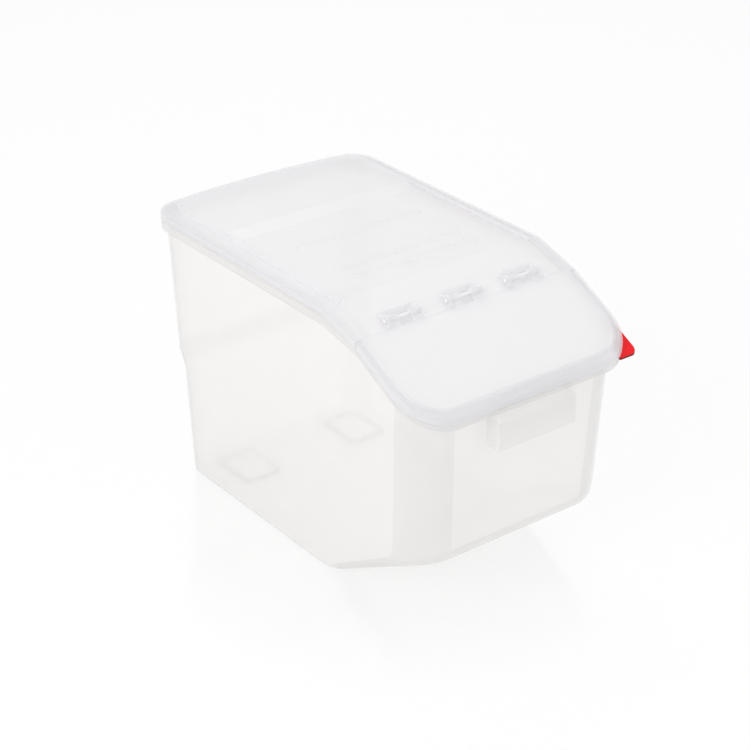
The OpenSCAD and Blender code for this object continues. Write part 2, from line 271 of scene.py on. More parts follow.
def loft(name, rings):
    """A closed solid through rings of equal length: the face of the first ring, extruded ring by ring."""
    piece = flat_face(name, rings[0])
    edit(piece)
    bpy.ops.mesh.select_all(action="SELECT")
    for last, ring in zip(rings, rings[1:]):
        where = {tuple(Vector(point)): i for i, point in enumerate(last)}
        bpy.ops.mesh.extrude_region_move(TRANSFORM_OT_translate={"value": (0, 0, 0)})
        mesh = bmesh.from_edit_mesh(piece.data)
        for vertex in mesh.verts:
            if vertex.select:
                vertex.co = ring[where[tuple(vertex.co)]]
        bmesh.update_edit_mesh(piece.data)
    outward()
    done()
    return piece


def open_end(piece, test):
    """Deletes the end face that passes the test."""
    edit(piece)
    pick(piece, "faces", test)
    bpy.ops.mesh.delete(type="ONLY_FACE")
    done()


def cut(piece, point, normal, keep=None):
    """Bisects the piece, and keeps what lies in front of or behind the plane, or both."""
    edit(piece)
    bpy.ops.mesh.select_all(action="SELECT")
    bpy.ops.mesh.bisect(plane_co=point, plane_no=normal, use_fill=False, clear_inner=keep == "front",
                        clear_outer=keep == "behind", threshold=0.001)
    done()


def crease(piece, places):
    """Cuts the piece's faces across at each y, and keeps both sides."""
    for y in places:
        cut(piece, (0, y, 0), (0, 1, 0))


def reshape(piece, rule):
    for vertex in piece.data.vertices:
        vertex.co = rule(*vertex.co)


def modify(piece, kind, **settings):
    """Adds a modifier with its settings and applies it."""
    choose(piece)
    modifier = piece.modifiers.new(kind.title(), kind)
    for key, value in settings.items():
        setattr(modifier, key, value)
    bpy.ops.object.modifier_apply(modifier=modifier.name)


def thicken(piece, thickness):
    modify(piece, "SOLIDIFY", thickness=thickness, offset=-1, use_even_offset=True)


def round_edges(piece, width, sharp=60, segments=2):
    """Rounds the edges that turn by more than the sharp angle, in degrees."""
    modify(piece, "BEVEL", width=width, segments=segments, limit_method="ANGLE",
           angle_limit=math.radians(sharp))


def volume(piece):
    mesh = bmesh.new()
    mesh.from_mesh(piece.data)
    size = mesh.calc_volume()
    mesh.free()
    return size


def combine(piece, other, operation, least, most):
    """Applies a boolean and removes the tool piece, and stops where the result can't be right."""
    modify(piece, "BOOLEAN", operation=operation, object=other, solver="MANIFOLD")
    bpy.data.objects.remove(other)
    if not least - 1 <= volume(piece) <= most + 1:
        raise RuntimeError(piece.name + " lost its shape in a boolean")


def join_with(piece, other):
    combine(piece, other, "UNION", volume(piece), volume(piece) + volume(other))


def cut_with(piece, other):
    combine(piece, other, "DIFFERENCE", volume(piece) - volume(other), volume(piece))


def copy_of(piece, along):
    """A copy with its own mesh, moved along x."""
    twin = piece.copy()
    twin.data = piece.data.copy()
    bpy.context.collection.objects.link(twin)
    reshape(twin, lambda x, y, z: (x + along, y, z))
    return twin


def upright(edge):
    a, b = (vertex.co for vertex in edge.verts)
    return abs(a.x - b.x) < NEAR and abs(a.y - b.y) < NEAR


def block(name, low, high, rounding=0.0, edges=None, segments=4):
    """A box between two corners, with the edges that pass the test rounded."""
    centre = [(a + b) / 2 for a, b in zip(low, high)]
    bpy.ops.object.select_all(action="DESELECT")
    bpy.ops.mesh.primitive_cube_add(size=1, location=centre, scale=[b - a for a, b in zip(low, high)])
    piece = bpy.context.object
    take_name(piece, name)
    bpy.ops.object.transform_apply(location=True, rotation=True, scale=True)
    if rounding:
        edit(piece)
        pick(piece, "edges", edges)
        bpy.ops.mesh.bevel(offset=rounding, segments=segments, affect="EDGES", clamp_overlap=True)
        done()
    return piece


def side_prism(name, points, x0, x1):
    """A solid whose side view is the polygon of (y, z) points, from x0 to x1."""
    return loft(name, [[(x0, y, z) for y, z in points], [(x1, y, z) for y, z in points]])


def around(cx, cy, radius, degrees):
    """Points on a circle at the given angles."""
    turns = [math.radians(a) for a in degrees]
    return [(cx + radius * math.cos(a), cy + radius * math.sin(a)) for a in turns]


def arc(cx, cy, radius, a0, a1, steps=CORNER_STEPS):
    return around(cx, cy, radius, [a0 + (a1 - a0) * i / steps for i in range(steps + 1)])


def rod(name, x0, x1, radius, sides=40):
    """A round rod on the hinge line."""
    turns = [math.tau * i / sides for i in range(sides)]
    ring = [(PIN_Y + radius * math.cos(a), PIN_Z + radius * math.sin(a)) for a in turns]
    return side_prism(name, ring, x0, x1)


def mark_greys(piece, shaded):
    """Keeps on each face how much painted shade it gets, as its grey.

    shaded gives the painted shade of a face, or None where only a narrow rounding gets a little painted
    shade."""
    mesh = bmesh.new()
    mesh.from_mesh(piece.data)
    grey = mesh.faces.layers.float.new("grey")
    for face in mesh.faces:
        known = shaded(face.calc_center_median(), face)
        edge = max(face.edges, key=lambda edge: edge.calc_face_angle(0.0) * edge.calc_length())
        turn = edge.calc_face_angle(0.0)
        width = max(face.calc_area(), NEAR) / edge.calc_length()
        if known is not None:
            face[grey] = known
        elif width < ROUNDING_WIDTH and turn > ROUNDING_TURN and turn / width > ROUNDING_BEND:
            face[grey] = ROUNDING_GREY * min(turn / width / TIGHT_BEND, 1.0) ** GREY_FADE
    mesh.to_mesh(piece.data)
    mesh.free()


def finish_piece(piece, shaded, material, slot, body, *nodes):
    """Turns the piece to metres, smooths it, gives it its painted shade, material and body, and hides the CAD
    nodes it stands for.
    """
    edit(piece)
    outward()
    done()
    mark_greys(piece, shaded)
    choose(piece)
    bpy.ops.transform.resize(value=(MM, MM, MM), center_override=(0, 0, 0))
    bpy.ops.object.transform_apply(location=True, rotation=True, scale=True)
    bpy.ops.object.shade_smooth_by_angle(angle=math.radians(40))
    modify(piece, "WEIGHTED_NORMAL", keep_sharp=True, weight=60)
    piece.data.materials.clear()
    piece.data.materials.append(material)
    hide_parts(*nodes)
    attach(piece, body)


# The lid's outline and profile


def outline(s, inset):
    """The lid's edge seen from above, drawn in by an inset, as (x, y) points."""
    rf, rb = s["front_r"], s["back_r"]
    bow_x = LID_HALF - rb

    def bow(x):
        return LID_BACK - x * x / (2 * s["bow_r"])

    points = arc(-LID_HALF + rf, rf - LID_FRONT, rf - inset, 180, 270)
    points += arc(LID_HALF - rf, rf - LID_FRONT, rf - inset, 270, 360)
    points += arc(bow_x, bow(bow_x) - rb, rb - inset, 0, 84)
    for i in range(1, BOW_STEPS):
        x = bow_x * (1 - 2 * i / BOW_STEPS)
        points.append((x, bow(x) - inset))
    return points + arc(-bow_x, bow(bow_x) - rb, rb - inset, 96, 180)


def slopes(s):
    """How steeply the strip behind the seam and the flap run down to the front."""
    return s["strip_drop"] / (s["seam_y"] - s["kink_y"]), s["flap_drop"] / (LID_FRONT - s["seam_y"])


def bend(d, blend):
    """How far a line that turns off at d = 0 has got, with its bend rounded over the blend on each side."""
    if d <= -blend:
        return 0.0
    if d >= blend:
        return d
    return (d + blend) ** 2 / (4 * blend)


def edge_z(s, y):
    """Height of the lid's edge above the ground at y, with its first kink rounded a little."""
    strip, fall = slopes(s)
    past_kink = bend(-s["kink_y"] - y, KINK_BLEND)
    past_seam = bend(-s["seam_y"] - y, NEAR)
    return s["rim_z"] - strip * past_kink - (fall - strip) * past_seam


def follow_profile(s):
    return lambda x, y, z: (x, y, z + edge_z(s, y))


def kink_lines(s):
    return [-s["kink_y"] + d * KINK_BLEND for d in (-1, -0.5, 0, 0.5, 1)]


def section_rings(s, section):
    """The lid's outline once for each point of the section."""
    return [[(x, y, dz) for x, y in outline(s, inset)] for inset, dz in section]


def lid_sheet(name, s, inset, height, step):
    """The flat outer skin of a lid, from its skirt up to its raised panel, open below."""
    low = -s["skirt_h"]
    section = [(0.5, low), (0, low + 0.6), *SKIRT_SECTION]
    section += [(inset + d, share * height) for d, share in step]
    sheet = loft(name, section_rings(s, section))
    open_end(sheet, lambda face: abs(face.calc_center_median().z - low) < NEAR)
    return sheet


# The bin


def bin_ring(s, z, inset, front, front_r, step=0.0):
    """The bin's wall seen from above at the height z, with its back moved out by the step."""
    half = s["floor_w"] / 2 + s["side_lean"] * z - inset
    back = s["floor_back"] + s["back_lean"] * z + step - inset
    front += inset
    rf, rb = front_r - inset, s["back_r"] - inset
    points = arc(-half + rf, front + rf, rf, 180, 270) + arc(half - rf, front + rf, rf, 270, 360)
    points += arc(half - rb, back - rb, rb, 0, 90) + arc(-half + rb, back - rb, rb, 90, 180)
    return [(x, y, z) for x, y in points]


def front_wall_y(s, z):
    return -s["ramp_front"] - s["front_lean"] * (z - s["ramp_rise"])


def bin_walls(s, top):
    """The bin's outer skin, with the slope at the front and the ledge at the back."""
    slope = s["ramp_rise"] / (s["ramp_front"] - s["ramp_start"])

    def slope_y(z):
        return -s["ramp_start"] - z / slope

    # The bevel round the floor
    rings = [bin_ring(s, 0, 2.2, -s["ramp_start"] + 2, s["fold_r"]),
             bin_ring(s, 0.4, 0.9, slope_y(-1), s["fold_r"]),
             bin_ring(s, 1.4, 0.2, slope_y(0), s["fold_r"])]
    # The slope, whose corners widen on the way up
    widening = s["front_r"] - s["fold_r"]
    for part in (0.04, 0.25, 0.5, 0.75):
        z = s["ramp_rise"] * part
        rings.append(bin_ring(s, z, 0, slope_y(z), s["fold_r"] + widening * part))
    # The rounding from the slope into the front wall, closer rings first
    lead = 6
    low, rise = s["ramp_rise"] - lead, s["front_round"] + lead
    jut = slope_y(low) - front_wall_y(s, low)
    for turn in (0, 0.2, 0.4, 0.6, 0.8, 1):
        z = low + rise * turn ** 1.3
        front = front_wall_y(s, z) + jut * (1 - turn) ** 1.8
        rings.append(bin_ring(s, z, 0, front, s["front_r"] - widening * 0.06 * (1 - turn)))
    # The ledge, with a rounded foot and head
    foot, head, depth = s["ledge_z"], s["ledge_z"] + s["ledge_slope"], s["ledge_depth"]
    for z, step in ((foot - 4, 0), (foot - 1, 0.12), (foot + 2, 1.4),
                    (head - 2, depth * 0.87), (head + 1, depth * 0.97), (head + 4, depth), (top, depth)):
        rings.append(bin_ring(s, z, 0, front_wall_y(s, z), s["front_r"], step))
    return loft("bin_shell", rings)


def rim_ring(s, lid):
    """The bin's rolled rim: a flange under the lid with a lip turned down outside the wall."""
    flange, foot = 14.5, -s["rim_drop"]
    # From the flange's inner edge over its top, down the lip outside and up again inside
    section = [(flange, -5.8), (flange, -3.6), (flange - 0.8, -2.8), (4.4, -2.8), (3.4, -3.2), (3.0, -4.2),
               (3.0, -10.2), (2.6, -11.2), (1.5, -12.2), (1.0, -13.4), (0.9, -15.0), (0.9, foot + 2.6),
               (1.3, foot + 1.0), (2.3, foot), (3.6, foot), (4.7, foot + 1.0), (5.1, foot + 2.6),
               (5.4, -12.0), (5.6, -7.4), (6.4, -6.2), (7.4, -5.8)]
    rim = loft("rim_ring", section_rings(lid, section))
    edit(rim)
    pick(rim, "faces", lambda face: len(face.verts) > 8)
    bpy.ops.mesh.delete(type="ONLY_FACE")
    pick(rim, "edges", lambda edge: edge.is_boundary)
    bpy.ops.mesh.bridge_edge_loops()
    outward()
    done()
    crease(rim, kink_lines(lid) + [-lid["seam_y"]])
    # Below this depth the lip is shorter in front
    fixed = 10
    share = (s["rim_drop_front"] - fixed) / (s["rim_drop"] - fixed)

    def lip_share(y):
        part = min(max((-y - lid["kink_y"]) / (lid["seam_y"] - lid["kink_y"]), 0), 1)
        return 1 - (1 - share) * part

    def rule(x, y, z):
        deep = z if z > -fixed else -fixed + (z + fixed) * lip_share(y)
        return x, y, deep + edge_z(lid, y)

    reshape(rim, rule)
    return rim


def grip_hood(s, lid):
    """The hand grip: a hood with a sloping shoulder, an upright face and a cheek at each end, open below."""
    rim_y, grip_y = -LID_FRONT, BIN_BOX[0][1] / MM
    overlap = 3
    top = edge_z(lid, rim_y) - s["rim_drop_front"] + overlap
    shoulder = top - (rim_y - grip_y + overlap)
    foot = shoulder - s["grip_h"]
    wall_y = front_wall_y(s, top)
    points = [(rim_y + 3.6, top + 2), (rim_y + 3.6, top), (grip_y, shoulder), (grip_y, foot),
              (wall_y + 2.6, foot), (wall_y + 1.0, top + 2)]
    half = s["grip_w"] / 2
    hood = side_prism("grip_hood", points, -half, half)
    edit(hood)
    pick(hood, "edges", lambda edge: upright(edge) and edge.verts[0].co.y < grip_y + 1)
    corner = 3.5
    bpy.ops.mesh.bevel(offset=corner, segments=4, affect="EDGES")
    pick(hood, "edges", lambda edge: abs(edge.verts[0].co.x - edge.verts[1].co.x) > 20
         and all(abs(v.co.z - shoulder) < corner + 0.1 and v.co.y < grip_y + 4 for v in edge.verts))
    bpy.ops.mesh.bevel(offset=3.0, segments=4, affect="EDGES")
    # Off come the underside and the side that lies inside the bin's wall
    pick(hood, "faces", lambda face: face.normal.z < -0.99 or face.normal.y > 0.9)
    bpy.ops.mesh.delete(type="FACE")
    done()
    thicken(hood, 2.8)
    return hood


def bin_piece(materials):
    s, lid = body_sizes(), lid_sizes()
    top = lid["rim_z"] + 12
    bin_shell = bin_walls(s, top)
    open_end(bin_shell, lambda face: face.calc_center_median().z > top - 1)
    # The walls end a little under the lid's edge, in its three slopes
    under = 3.4
    strip, fall = slopes(lid)
    kink, seam = -lid["kink_y"], -lid["seam_y"]
    level = lid["rim_z"]
    for y, height, slope in ((0, level, 0), (kink, level, strip), (seam, edge_z(lid, seam), fall)):
        cut(bin_shell, (0, y, height - under), (0, -slope, 1), keep="behind")
    thicken(bin_shell, s["wall"])
    join_with(bin_shell, rim_ring(s, lid))
    join_with(bin_shell, grip_hood(s, lid))

    half_w, half_l = s["pocket_w"] / 2, s["pocket_l"] / 2
    middle_y = s["floor_back"] - s["pocket_inset"] - half_l

    def pocket_block(name, x, grow, low, high, rounding):
        """A block over one pocket, with its upright edges and those round its top rounded."""
        return block(name, (x - half_w - grow, middle_y - half_l - grow, low),
                     (x + half_w + grow, middle_y + half_l + grow, high), rounding,
                     lambda edge: upright(edge) or min(v.co.z for v in edge.verts) > 5)

    for x in (-s["pocket_x"], s["pocket_x"]):
        join_with(bin_shell, pocket_block("pocket_pad", x, s["wall"], 1, s["pocket_d"] + s["wall"], 5))
        cut_with(bin_shell, pocket_block("pocket_space", x, 0, -5, s["pocket_d"], 3))
    cut_with(bin_shell, clip_solid(lid, CLIP_GAP))

    ledge_foot, ledge_head = s["ledge_z"] - 2, s["ledge_z"] + s["ledge_slope"] + 3
    rim_foot = edge_z(lid, -LID_FRONT) - s["rim_drop_front"] - 0.5

    # Painted shade: the pockets' sides and the ledge darkened so that they show through the walls, and the
    # grip darkened under the rim
    def shaded(centre, face):
        x, y, z = centre
        near_pocket = abs(abs(x) - s["pocket_x"]) < half_w + 4 and abs(y - middle_y) < half_l + 4
        if near_pocket and z < 12 and abs(face.normal.z) < 0.8:
            return POCKET_GREY
        if ledge_foot < z < ledge_head and y > s["floor_back"] - 20:
            return LEDGE_GREY
        if z < rim_foot and y < front_wall_y(s, z) - 0.5:
            return GRIP_GREY
        return None

    finish_piece(bin_shell, shaded, materials["milky"], "milky_plastic", "bin", "bin_body")


# The fixed lid


def hinge_housing(s, front_z):
    """One hinge housing, centred on x = 0: a trough with a back wall and an ear at each end."""
    wall = 2.5
    front, back = -s["seam_y"] + HALF_SEAM, PIN_Y + s["housing_back"] + wall
    floor, top = PIN_Z - s["barrel_r"] - 8.5, PIN_Z + 5
    nick = 1.2
    ear = [(front, floor), (back, floor), (back, top - nick), (back - nick, top)]
    ear += around(PIN_Y, PIN_Z, s["ear_r"], (*range(42, 187, 16), 200))
    ear.append((front, front_z))
    half = s["housing_w"] / 2
    housing = side_prism("hinge_housing", ear, -half - s["ear_t"], half + s["ear_t"])
    round_edges(housing, 0.9, 50)
    cut_with(housing, block("housing_space", (-half, front - 20, floor + wall),
                            (half, back - wall, PIN_Z + 30)))
    return housing


def lid_piece(materials):
    s = lid_sizes()
    seam = -s["seam_y"] + HALF_SEAM
    mid, high = s["panel_h"], s["ridge_h"]
    lid = lid_sheet("back_lid", s, s["ridge_inset"], mid, LID_STEP)
    foot, head = s["plateau_y"], s["plateau_y"] + s["plateau_slope"]
    bends = [y + d for y in (foot, head) for d in (-PLATEAU_BLEND, 0, PLATEAU_BLEND)]
    crease(lid, bends + kink_lines(s) + CROSS_CUTS)
    cut(lid, (0, seam, 0), (0, 1, 0), keep="front")

    def relief(y):
        """Height of the raised panel at y: the plateau at the back, the lower panel in front of it."""
        share = (bend(y - foot, PLATEAU_BLEND) - bend(y - head, PLATEAU_BLEND)) / (head - foot)
        return mid + (high - mid) * min(max(share, 0), 1)

    reshape(lid, lambda x, y, z: (x, y, (z if z <= 0 else z / mid * relief(y)) + edge_z(s, y)))
    thicken(lid, s["sheet"])
    round_edges(lid, 0.7)

    # The side ridges are sunk in the sheet, run into the plateau and end a shade below its top
    half_ridge = s["ridge_w"] / 2
    ridge_x = LID_HALF - s["ridge_inset"] - half_ridge - 0.35
    for x in (-ridge_x, ridge_x):
        ridge = block("side_ridge", (x - half_ridge, -s["ridge_front"], s["rim_z"] - 1.4),
                      (x + half_ridge, head + 4, s["rim_z"] + high - 0.07), 3.6,
                      lambda edge: upright(edge) and edge.verts[0].co.y < 0)
        round_edges(ridge, 2.4, 50, 4)
        join_with(lid, ridge)

    half_w, half_l = s["rib_w"] / 2, s["rib_l"] / 2
    base, top = s["rim_z"] + mid - 1.2, s["rim_z"] + mid + s["rib_h"]
    for y in RIB_PLACES:
        rib = block("cross_rib", (-half_l, y - half_w, base), (half_l, y + half_w, top),
                    half_w - 0.1, upright, 8)
        edit(rib)
        pick(rib, "edges", lambda edge: all(abs(v.co.z - top) < NEAR for v in edge.verts))
        bpy.ops.mesh.bevel(offset=2.2, segments=4, affect="EDGES")
        done()
        join_with(lid, rib)

    half = s["housing_w"] / 2
    back = PIN_Y + s["housing_back"]
    for x in HOUSING_PLACES:
        cut_with(lid, block("notch", (x - half - 2, -s["seam_y"] - 5, PIN_Z - 30),
                            (x + half + 2, back + 1.2, PIN_Z + 40)))
    housing = hinge_housing(s, edge_z(s, seam) + mid)
    for x in HOUSING_PLACES:
        join_with(lid, copy_of(housing, x))
    bpy.data.objects.remove(housing)
    for x in HOUSING_PLACES:
        cut_with(lid, rod("pin_hole", x - half - 8, x + half + 8, PIN_HOLE_R))

    # Painted shade: a dark line on the lid's face at the seam, and the hinge housings a little darker
    def shaded(centre, face):
        if centre.y < seam + 0.5 and face.normal.y < -0.5:
            return 1.0
        near_housing = min(abs(centre.x - x) for x in HOUSING_PLACES) < half + s["ear_t"] + 0.5
        if near_housing and centre.y < back + 3 and face.calc_area() < SHEET_FACE:
            return HOUSING_GREY
        return None

    finish_piece(lid, shaded, materials["clear"], "white_plastic", "lid", "fixed_lid")


# The flap


def flap_piece(materials):
    s = lid_sizes()
    seam = -s["seam_y"] - HALF_SEAM
    flap = lid_sheet("flap_shell", s, s["flap_border"], s["flap_panel_h"], FLAP_STEP)
    cut(flap, (0, seam, 0), (0, 1, 0), keep="behind")
    reshape(flap, follow_profile(s))
    thicken(flap, s["sheet"])
    round_edges(flap, 0.7)

    # Each hinge barrel has an arm that runs on under the flap's panel
    fall = slopes(s)[1]
    seam_top = edge_z(s, -s["seam_y"]) + s["flap_panel_h"]
    near = s["housing_w"] / 2 - 0.5 - s["barrel_l"]
    far = near + s["barrel_l"]
    reach = -s["seam_y"] - 8

    def under_panel(y, depth):
        return y, seam_top + fall * (y + s["seam_y"]) - depth

    skin, root = 0.15, 3.4
    arm_points = [under_panel(PIN_Y, skin), under_panel(reach, skin), under_panel(reach, root),
                  under_panel(PIN_Y, root)]
    arm = side_prism("barrel_arm", arm_points, near, far)
    barrel = rod("hinge_barrel", near, far, s["barrel_r"], 48)
    round_edges(barrel, 0.6, 50)
    join_with(barrel, arm)
    for x in HOUSING_PLACES:
        for along in (x, x - 2 * near - s["barrel_l"]):
            join_with(flap, copy_of(barrel, along))
    bpy.data.objects.remove(barrel)
    half = s["housing_w"] / 2
    for x in HOUSING_PLACES:
        cut_with(flap, rod("pin_hole", x - half - 2, x + half + 2, PIN_HOLE_R))

    # Painted shade: a dark line on the flap's face at the seam; the barrels get none
    def shaded(centre, face):
        if (centre.yz - Vector((PIN_Y, PIN_Z))).length < s["barrel_r"] + 0.5:
            return 0.0
        if centre.y > seam - 0.7 and face.normal.y > 0.5:
            return 1.0
        return None

    finish_piece(flap, shaded, materials["clear"], "white_plastic", "flap", "front_flap")


# The clip


def clip_outline(s, grow):
    """The clip seen from above, as (x, y) points. The grown one only cuts the rim, so it is plainer."""
    cx, cy = LID_HALF - s["front_r"], s["front_r"] - LID_FRONT
    edge_y = -LID_FRONT + 6 - grow
    if grow:
        points = around(cx, cy, 55, (-6,)) + around(cx, cy, 46, (-30, -60)) + around(cx, cy, 55, (-68,))
        points.append((points[-1][0], edge_y))
    else:
        inside = s["front_r"] - 2.7
        half_tongue = 8 * math.sqrt(0.5)

        def tongue_point(radius, side):
            at = radius * math.sqrt(0.5)
            return cx + at + side * half_tongue, cy - at + side * half_tongue

        root, mouth = s["front_r"] - 12.0, inside
        points = around(cx, cy, inside, (-9, -18, -27, -34))
        points += [tongue_point(mouth, 1), tongue_point(root, 1)]
        points += [tongue_point(root, -1), tongue_point(mouth, -1)]
        points += around(cx, cy, inside, (-56, -62))
        points.append((points[-1][0] + 2, edge_y))
    tip = 10.0
    points += arc(LID_HALF + grow - tip, edge_y + tip, tip, 270, 360, 8)
    return points + [(LID_HALF + grow, cy - 8 + grow)]


def clip_solid(s, grow):
    """The clip's tab under the flap's corner, with its tongue; grown all round to be cut from the rim."""
    points = clip_outline(s, grow)
    low, high = -s["skirt_h"] - CLIP_GAP - CLIP_T - grow, -s["skirt_h"] - CLIP_GAP + grow
    clip = loft("clip_tab", [[(x, y, low) for x, y in points], [(x, y, high) for x, y in points]])
    if not grow:
        round_edges(clip, 0.5, segments=3)
    reshape(clip, follow_profile(s))
    return clip


def clip_piece(materials):
    clip = clip_solid(lid_sizes(), 0)

    # Painted shade: the clip's sides and underside dark red, its top the plain red
    def shaded(centre, face):
        return 0.0 if face.normal.z > 0.5 else 1.0

    finish_piece(clip, shaded, materials["red"], "red_plastic", "clip", "colour_clip")


# Materials


def add(tree, kind, settings=None, **links):
    """Adds a node with its settings, and links or sets its inputs by name, or by number after an i."""
    node = tree.nodes.new(kind)
    for key, value in (settings or {}).items():
        setattr(node, key, value)
    for key, value in links.items():
        socket = node.inputs[int(key[1:]) if key[0] == "i" and key[1:].isdigit() else key.replace("_", " ")]
        if isinstance(value, bpy.types.NodeSocket):
            tree.links.new(value, socket)
        else:
            socket.default_value = value
    return node


def plastic(name, colour, shade_colour, roughness, glow=0.0, clear=0.0):
    """Injection-moulded plastic: a satin skin with a fine grain and a slightly uneven gloss from the mould.

    It turns to the shade colour by its painted shade, the greys kept on the piece's faces. glow is the share
    of light that the wall lets through blurred, and clear the share that it lets through straight."""
    material = bpy.data.materials.new(name)
    material.use_nodes = True
    tree = material.node_tree
    shader = tree.nodes["Principled BSDF"]
    place = add(tree, "ShaderNodeTexCoord")
    # Clouds of gloss about 110 mm across
    cloud = add(tree, "ShaderNodeTexNoise", Vector=place.outputs["Object"], Scale=9.0, Detail=3.0,
                Roughness=0.5)
    gloss = add(tree, "ShaderNodeMapRange", Value=cloud.outputs["Fac"], From_Min=0.3, From_Max=0.7,
                To_Min=roughness - 0.05, To_Max=roughness + 0.06)
    # The mould's grain is finer than a tenth of a millimetre, and is drawn about 1 mm wide so that it shows
    grain = add(tree, "ShaderNodeTexNoise", Vector=place.outputs["Object"], Scale=900.0, Detail=2.0,
                Roughness=0.6)
    bump = add(tree, "ShaderNodeBump", Strength=0.06, Distance=0.0004, Height=grain.outputs["Fac"])
    grey = add(tree, "ShaderNodeAttribute", {"attribute_name": "grey"})
    tint = add(tree, "ShaderNodeMix", {"data_type": "RGBA"}, i0=grey.outputs["Fac"], i6=(*colour, 1),
               i7=(*shade_colour, 1))
    tree.links.new(tint.outputs[2], shader.inputs["Base Color"])
    tree.links.new(gloss.outputs["Result"], shader.inputs["Roughness"])
    tree.links.new(bump.outputs["Normal"], shader.inputs["Normal"])
    shader.inputs["IOR"].default_value = 1.49
    # The dense plastics take little of the white studio's sheen, so their colour stays deep
    shader.inputs["Specular IOR Level"].default_value = 1.0 if glow else 0.25
    if glow:
        milk = add(tree, "ShaderNodeBsdfTranslucent", Color=tint.outputs[2])
        gap = add(tree, "ShaderNodeBsdfTransparent", Color=(1, 1, 1, 1))
        body = add(tree, "ShaderNodeMixShader", i0=glow, i1=shader.outputs[0], i2=milk.outputs[0])
        wall = add(tree, "ShaderNodeMixShader", i0=clear, i1=body.outputs[0], i2=gap.outputs[0])
        tree.links.new(wall.outputs[0], tree.nodes["Material Output"].inputs["Surface"])
    return material


def make_materials():
    looks = bpy.context.scene.rice_bin_looks
    # Polypropylene, moulded natural: milky, lets light through and blurs most of what is behind it, with
    # painted shade in the body grey
    milky = plastic("polypropylene_milky", looks.milky, looks.edge, 0.36, 0.45, 0.56)
    # The same polypropylene in the lid's sheet: it lets a little less through, and its painted shade is paler
    clear = plastic("polypropylene_sheet", looks.clear, looks.lid_shade, 0.35, 0.45, 0.5)
    # Polypropylene coloured through with red pigment: opaque, with a moulded gloss and painted shade on its
    # sides and underside
    red = plastic("polypropylene_red", looks.red, looks.red_shade, 0.34)
    # Acetal rod for the pins: dense white, satin
    pin = plastic("acetal_white", looks.pin, looks.pin, 0.35)
    return {"milky": milky, "clear": clear, "red": red, "pin": pin}


# The stage


def directly_seen(tree):
    """1 for rays from the camera, a gloss or through clear plastic, and 0 for those that light the object."""
    path = add(tree, "ShaderNodeLightPath")
    seen = add(tree, "ShaderNodeMath", {"operation": "MAXIMUM"}, i0=path.outputs["Is Camera Ray"],
               i1=path.outputs["Is Glossy Ray"])
    seen = add(tree, "ShaderNodeMath", {"operation": "MAXIMUM"}, i0=seen.outputs[0],
               i1=path.outputs["Is Transmission Ray"])
    return seen.outputs[0]


def make_floor():
    """A table of white acrylic that reflects the bin near it, and looks white all over."""
    bpy.ops.object.select_all(action="DESELECT")
    bpy.ops.mesh.primitive_plane_add(size=14.0, location=(0, 0, -0.0006))
    floor = bpy.context.object
    floor.name = "studio_floor"
    bpy.ops.object.transform_apply(location=True, rotation=True, scale=True)
    material = bpy.data.materials.new("white_acrylic_table")
    material.use_nodes = True
    tree = material.node_tree
    tree.nodes.clear()
    colour = (*bpy.context.scene.rice_bin_looks.floor, 1)
    matt = add(tree, "ShaderNodeBsdfDiffuse", Color=colour)
    glow = add(tree, "ShaderNodeEmission", Color=(1, 1, 1, 1), Strength=1.0)
    share = add(tree, "ShaderNodeMath", {"operation": "MULTIPLY"}, i0=directly_seen(tree), i1=0.78)
    base = add(tree, "ShaderNodeMixShader", i0=share.outputs[0], i1=matt.outputs[0], i2=glow.outputs[0])
    polish = add(tree, "ShaderNodeBsdfGlossy", Color=(1, 1, 1, 1), Roughness=0.14)
    # The reflection fades out between these distances from the bin's middle, in metres
    place = add(tree, "ShaderNodeTexCoord")
    away = add(tree, "ShaderNodeVectorMath", {"operation": "LENGTH"}, Vector=place.outputs["Object"])
    fade = add(tree, "ShaderNodeMapRange", {"interpolation_type": "SMOOTHSTEP"}, Value=away.outputs["Value"],
               From_Min=0.25, From_Max=0.48, To_Min=0.25, To_Max=0.0)
    top = add(tree, "ShaderNodeMixShader", i0=fade.outputs["Result"], i1=base.outputs[0],
              i2=polish.outputs[0])
    add(tree, "ShaderNodeOutputMaterial", Surface=top.outputs[0])
    floor.data.materials.append(material)


def make_light():
    """A white room that is a little dimmer as light than it looks, and three round soft lamps."""
    scene = bpy.context.scene
    world = bpy.data.worlds.new("white_studio")
    scene.world = world
    world.use_nodes = True
    tree = world.node_tree
    tree.nodes.clear()
    strength = add(tree, "ShaderNodeMapRange", Value=directly_seen(tree), To_Min=0.88, To_Max=1.0)
    back = add(tree, "ShaderNodeBackground", Color=(1, 1, 1, 1), Strength=strength.outputs["Result"])
    add(tree, "ShaderNodeOutputWorld", Surface=back.outputs[0])
    # Name, place and width in metres, and power in watts
    lamps = (("key_light", (-2.3, -0.7, 1.6), 1.6, 22.0), ("fill_light", (1.6, -2.4, 1.4), 1.8, 10.0),
             ("back_light", (0.9, 1.8, 2.7), 1.1, 9.0))
    aim = Vector((0, 0, 0.2))
    for name, place, size, power in lamps:
        data = bpy.data.lights.new(name, "AREA")
        data.shape = "DISK"
        data.size = size
        data.energy = power
        lamp = bpy.data.objects.new(name, data)
        scene.collection.objects.link(lamp)
        lamp.location = place
        lamp.rotation_euler = (aim - Vector(place)).to_track_quat("-Z", "Y").to_euler()


